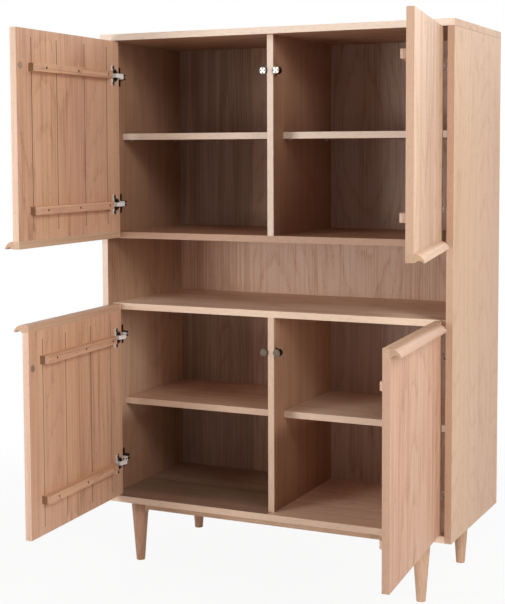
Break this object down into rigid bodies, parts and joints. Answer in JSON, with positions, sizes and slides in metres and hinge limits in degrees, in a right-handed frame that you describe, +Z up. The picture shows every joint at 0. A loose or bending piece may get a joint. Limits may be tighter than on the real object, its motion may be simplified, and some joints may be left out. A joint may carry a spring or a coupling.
{
  "type": "tall cabinet",
  "caption": "Tall oak cabinet on turned legs, with shelved rooms behind hinged grip-lip doors above and below an open niche.",
  "frame": {"origin": "on the floor, under the middle of the carcass, half way between the four feet", "axes": "+X to the right as the doors are faced, +Y from the doors to the back panel, +Z up"},
  "size_m": [1.1833, 0.9738, 1.6],
  "materials": {
    "oak_carcass": "oiled pale oak, matt",
    "oak_door": "oiled pale oak, matt",
    "oak_base": "oiled pale oak, matt",
    "oak_back": "oak veneered board, matt",
    "beech": "plain fluted dowel",
    "nickel": "nickel-plated steel",
    "bronzed_steel": "dark bronzed steel",
    "dark_steel": "blackened steel screw",
    "zinc_steel": "zinc-plated steel",
    "catch_housing": "polished nickel",
    "magnet": "plated magnet face"
  },
  "bodies": {
    "root": {"top_panel": "oak_carcass", "bottom_panel": "oak_carcass", "left_side_panel": "oak_carcass", "right_side_panel": "oak_carcass", "niche_shelf": "oak_carcass", "upper_floor": "oak_carcass", "lower_partition": "oak_carcass", "upper_partition": "oak_carcass", "back_panel": "oak_back", "carcass_dowels": "beech", "shelf_pins": "nickel", "upper_left_shelf": "oak_carcass", "upper_right_shelf": "oak_carcass", "lower_left_shelf": "oak_carcass", "lower_right_shelf": "oak_carcass", "front_left_leg": "oak_base", "front_right_leg": "oak_base", "rear_left_leg": "oak_base", "rear_right_leg": "oak_base", "leg_bolts": "zinc_steel", "front_rail": "oak_base", "rear_rail": "oak_base", "left_rail": "oak_base", "right_rail": "oak_base", "hinge_plates": "bronzed_steel", "door_catches": "catch_housing", "catch_magnets": "magnet", "upper_left_door_hinge_arms": "nickel", "upper_right_door_hinge_arms": "nickel", "lower_left_door_hinge_arms": "nickel", "lower_right_door_hinge_arms": "nickel"},
    "upper_left_door": {"upper_left_door_board": "oak_door", "upper_left_door_lip_rail": "oak_door", "upper_left_door_battens": "oak_door", "upper_left_door_batten_screws": "dark_steel", "upper_left_door_strike_disc": "nickel", "upper_left_door_hinge_cups": "nickel"},
    "upper_left_door_links": {"upper_left_door_hinge_links": "nickel"},
    "upper_right_door": {"upper_right_door_board": "oak_door", "upper_right_door_lip_rail": "oak_door", "upper_right_door_battens": "oak_door", "upper_right_door_batten_screws": "dark_steel", "upper_right_door_strike_disc": "nickel", "upper_right_door_hinge_cups": "nickel"},
    "upper_right_door_links": {"upper_right_door_hinge_links": "nickel"},
    "lower_left_door": {"lower_left_door_board": "oak_door", "lower_left_door_lip_rail": "oak_door", "lower_left_door_battens": "oak_door", "lower_left_door_batten_screws": "dark_steel", "lower_left_door_strike_disc": "nickel", "lower_left_door_hinge_cups": "nickel"},
    "lower_left_door_links": {"lower_left_door_hinge_links": "nickel"},
    "lower_right_door": {"lower_right_door_board": "oak_door", "lower_right_door_lip_rail": "oak_door", "lower_right_door_battens": "oak_door", "lower_right_door_batten_screws": "dark_steel", "lower_right_door_strike_disc": "nickel", "lower_right_door_hinge_cups": "nickel"},
    "lower_right_door_links": {"lower_right_door_hinge_links": "nickel"}
  },
  "joints": [
    {"name": "upper_left_door_swing", "type": "hinge", "parent": "root", "child": "upper_left_door", "pos_m": [-0.5132, -0.2293, 1.2855], "axis": [0, 0, -1], "range_deg": [-88.9, 16.1]},
    {"name": "upper_left_door_link_turn", "type": "hinge", "parent": "upper_left_door", "child": "upper_left_door_links", "pos_m": [-0.50325, -0.23681, 1.2855], "axis": [0, 0, -1], "range_deg": [-15.07, 80.93]},
    {"name": "upper_right_door_swing", "type": "hinge", "parent": "root", "child": "upper_right_door", "pos_m": [0.5132, -0.2293, 1.2855], "axis": [0, 0, 1], "range_deg": [-100.3, 4.7]},
    {"name": "upper_right_door_link_turn", "type": "hinge", "parent": "upper_right_door", "child": "upper_right_door_links", "pos_m": [0.50494, -0.23863, 1.2855], "axis": [0, 0, 1], "range_deg": [-4.75, 91.25]},
    {"name": "lower_left_door_swing", "type": "hinge", "parent": "root", "child": "lower_left_door", "pos_m": [-0.5132, -0.2293, 0.498], "axis": [0, 0, -1], "range_deg": [-86.2, 18.8]},
    {"name": "lower_left_door_link_turn", "type": "hinge", "parent": "lower_left_door", "child": "lower_left_door_links", "pos_m": [-0.50291, -0.23633, 0.498], "axis": [0, 0, -1], "range_deg": [-17.51, 78.49]},
    {"name": "lower_right_door_swing", "type": "hinge", "parent": "root", "child": "lower_right_door", "pos_m": [0.5132, -0.2293, 0.498], "axis": [0, 0, 1], "range_deg": [-94.3, 10.7]},
    {"name": "lower_right_door_link_turn", "type": "hinge", "parent": "lower_right_door", "child": "lower_right_door_links", "pos_m": [0.50401, -0.23771, 0.498], "axis": [0, 0, 1], "range_deg": [-10.18, 85.82]}
  ],
  "couplings": [
    {"joint": "upper_left_door_link_turn", "follows": "upper_left_door_swing", "ratio": -0.90476},
    {"joint": "upper_right_door_link_turn", "follows": "upper_right_door_swing", "ratio": -0.90476},
    {"joint": "lower_left_door_link_turn", "follows": "lower_left_door_swing", "ratio": -0.90476},
    {"joint": "lower_right_door_link_turn", "follows": "lower_right_door_swing", "ratio": -0.90476}
  ]
}
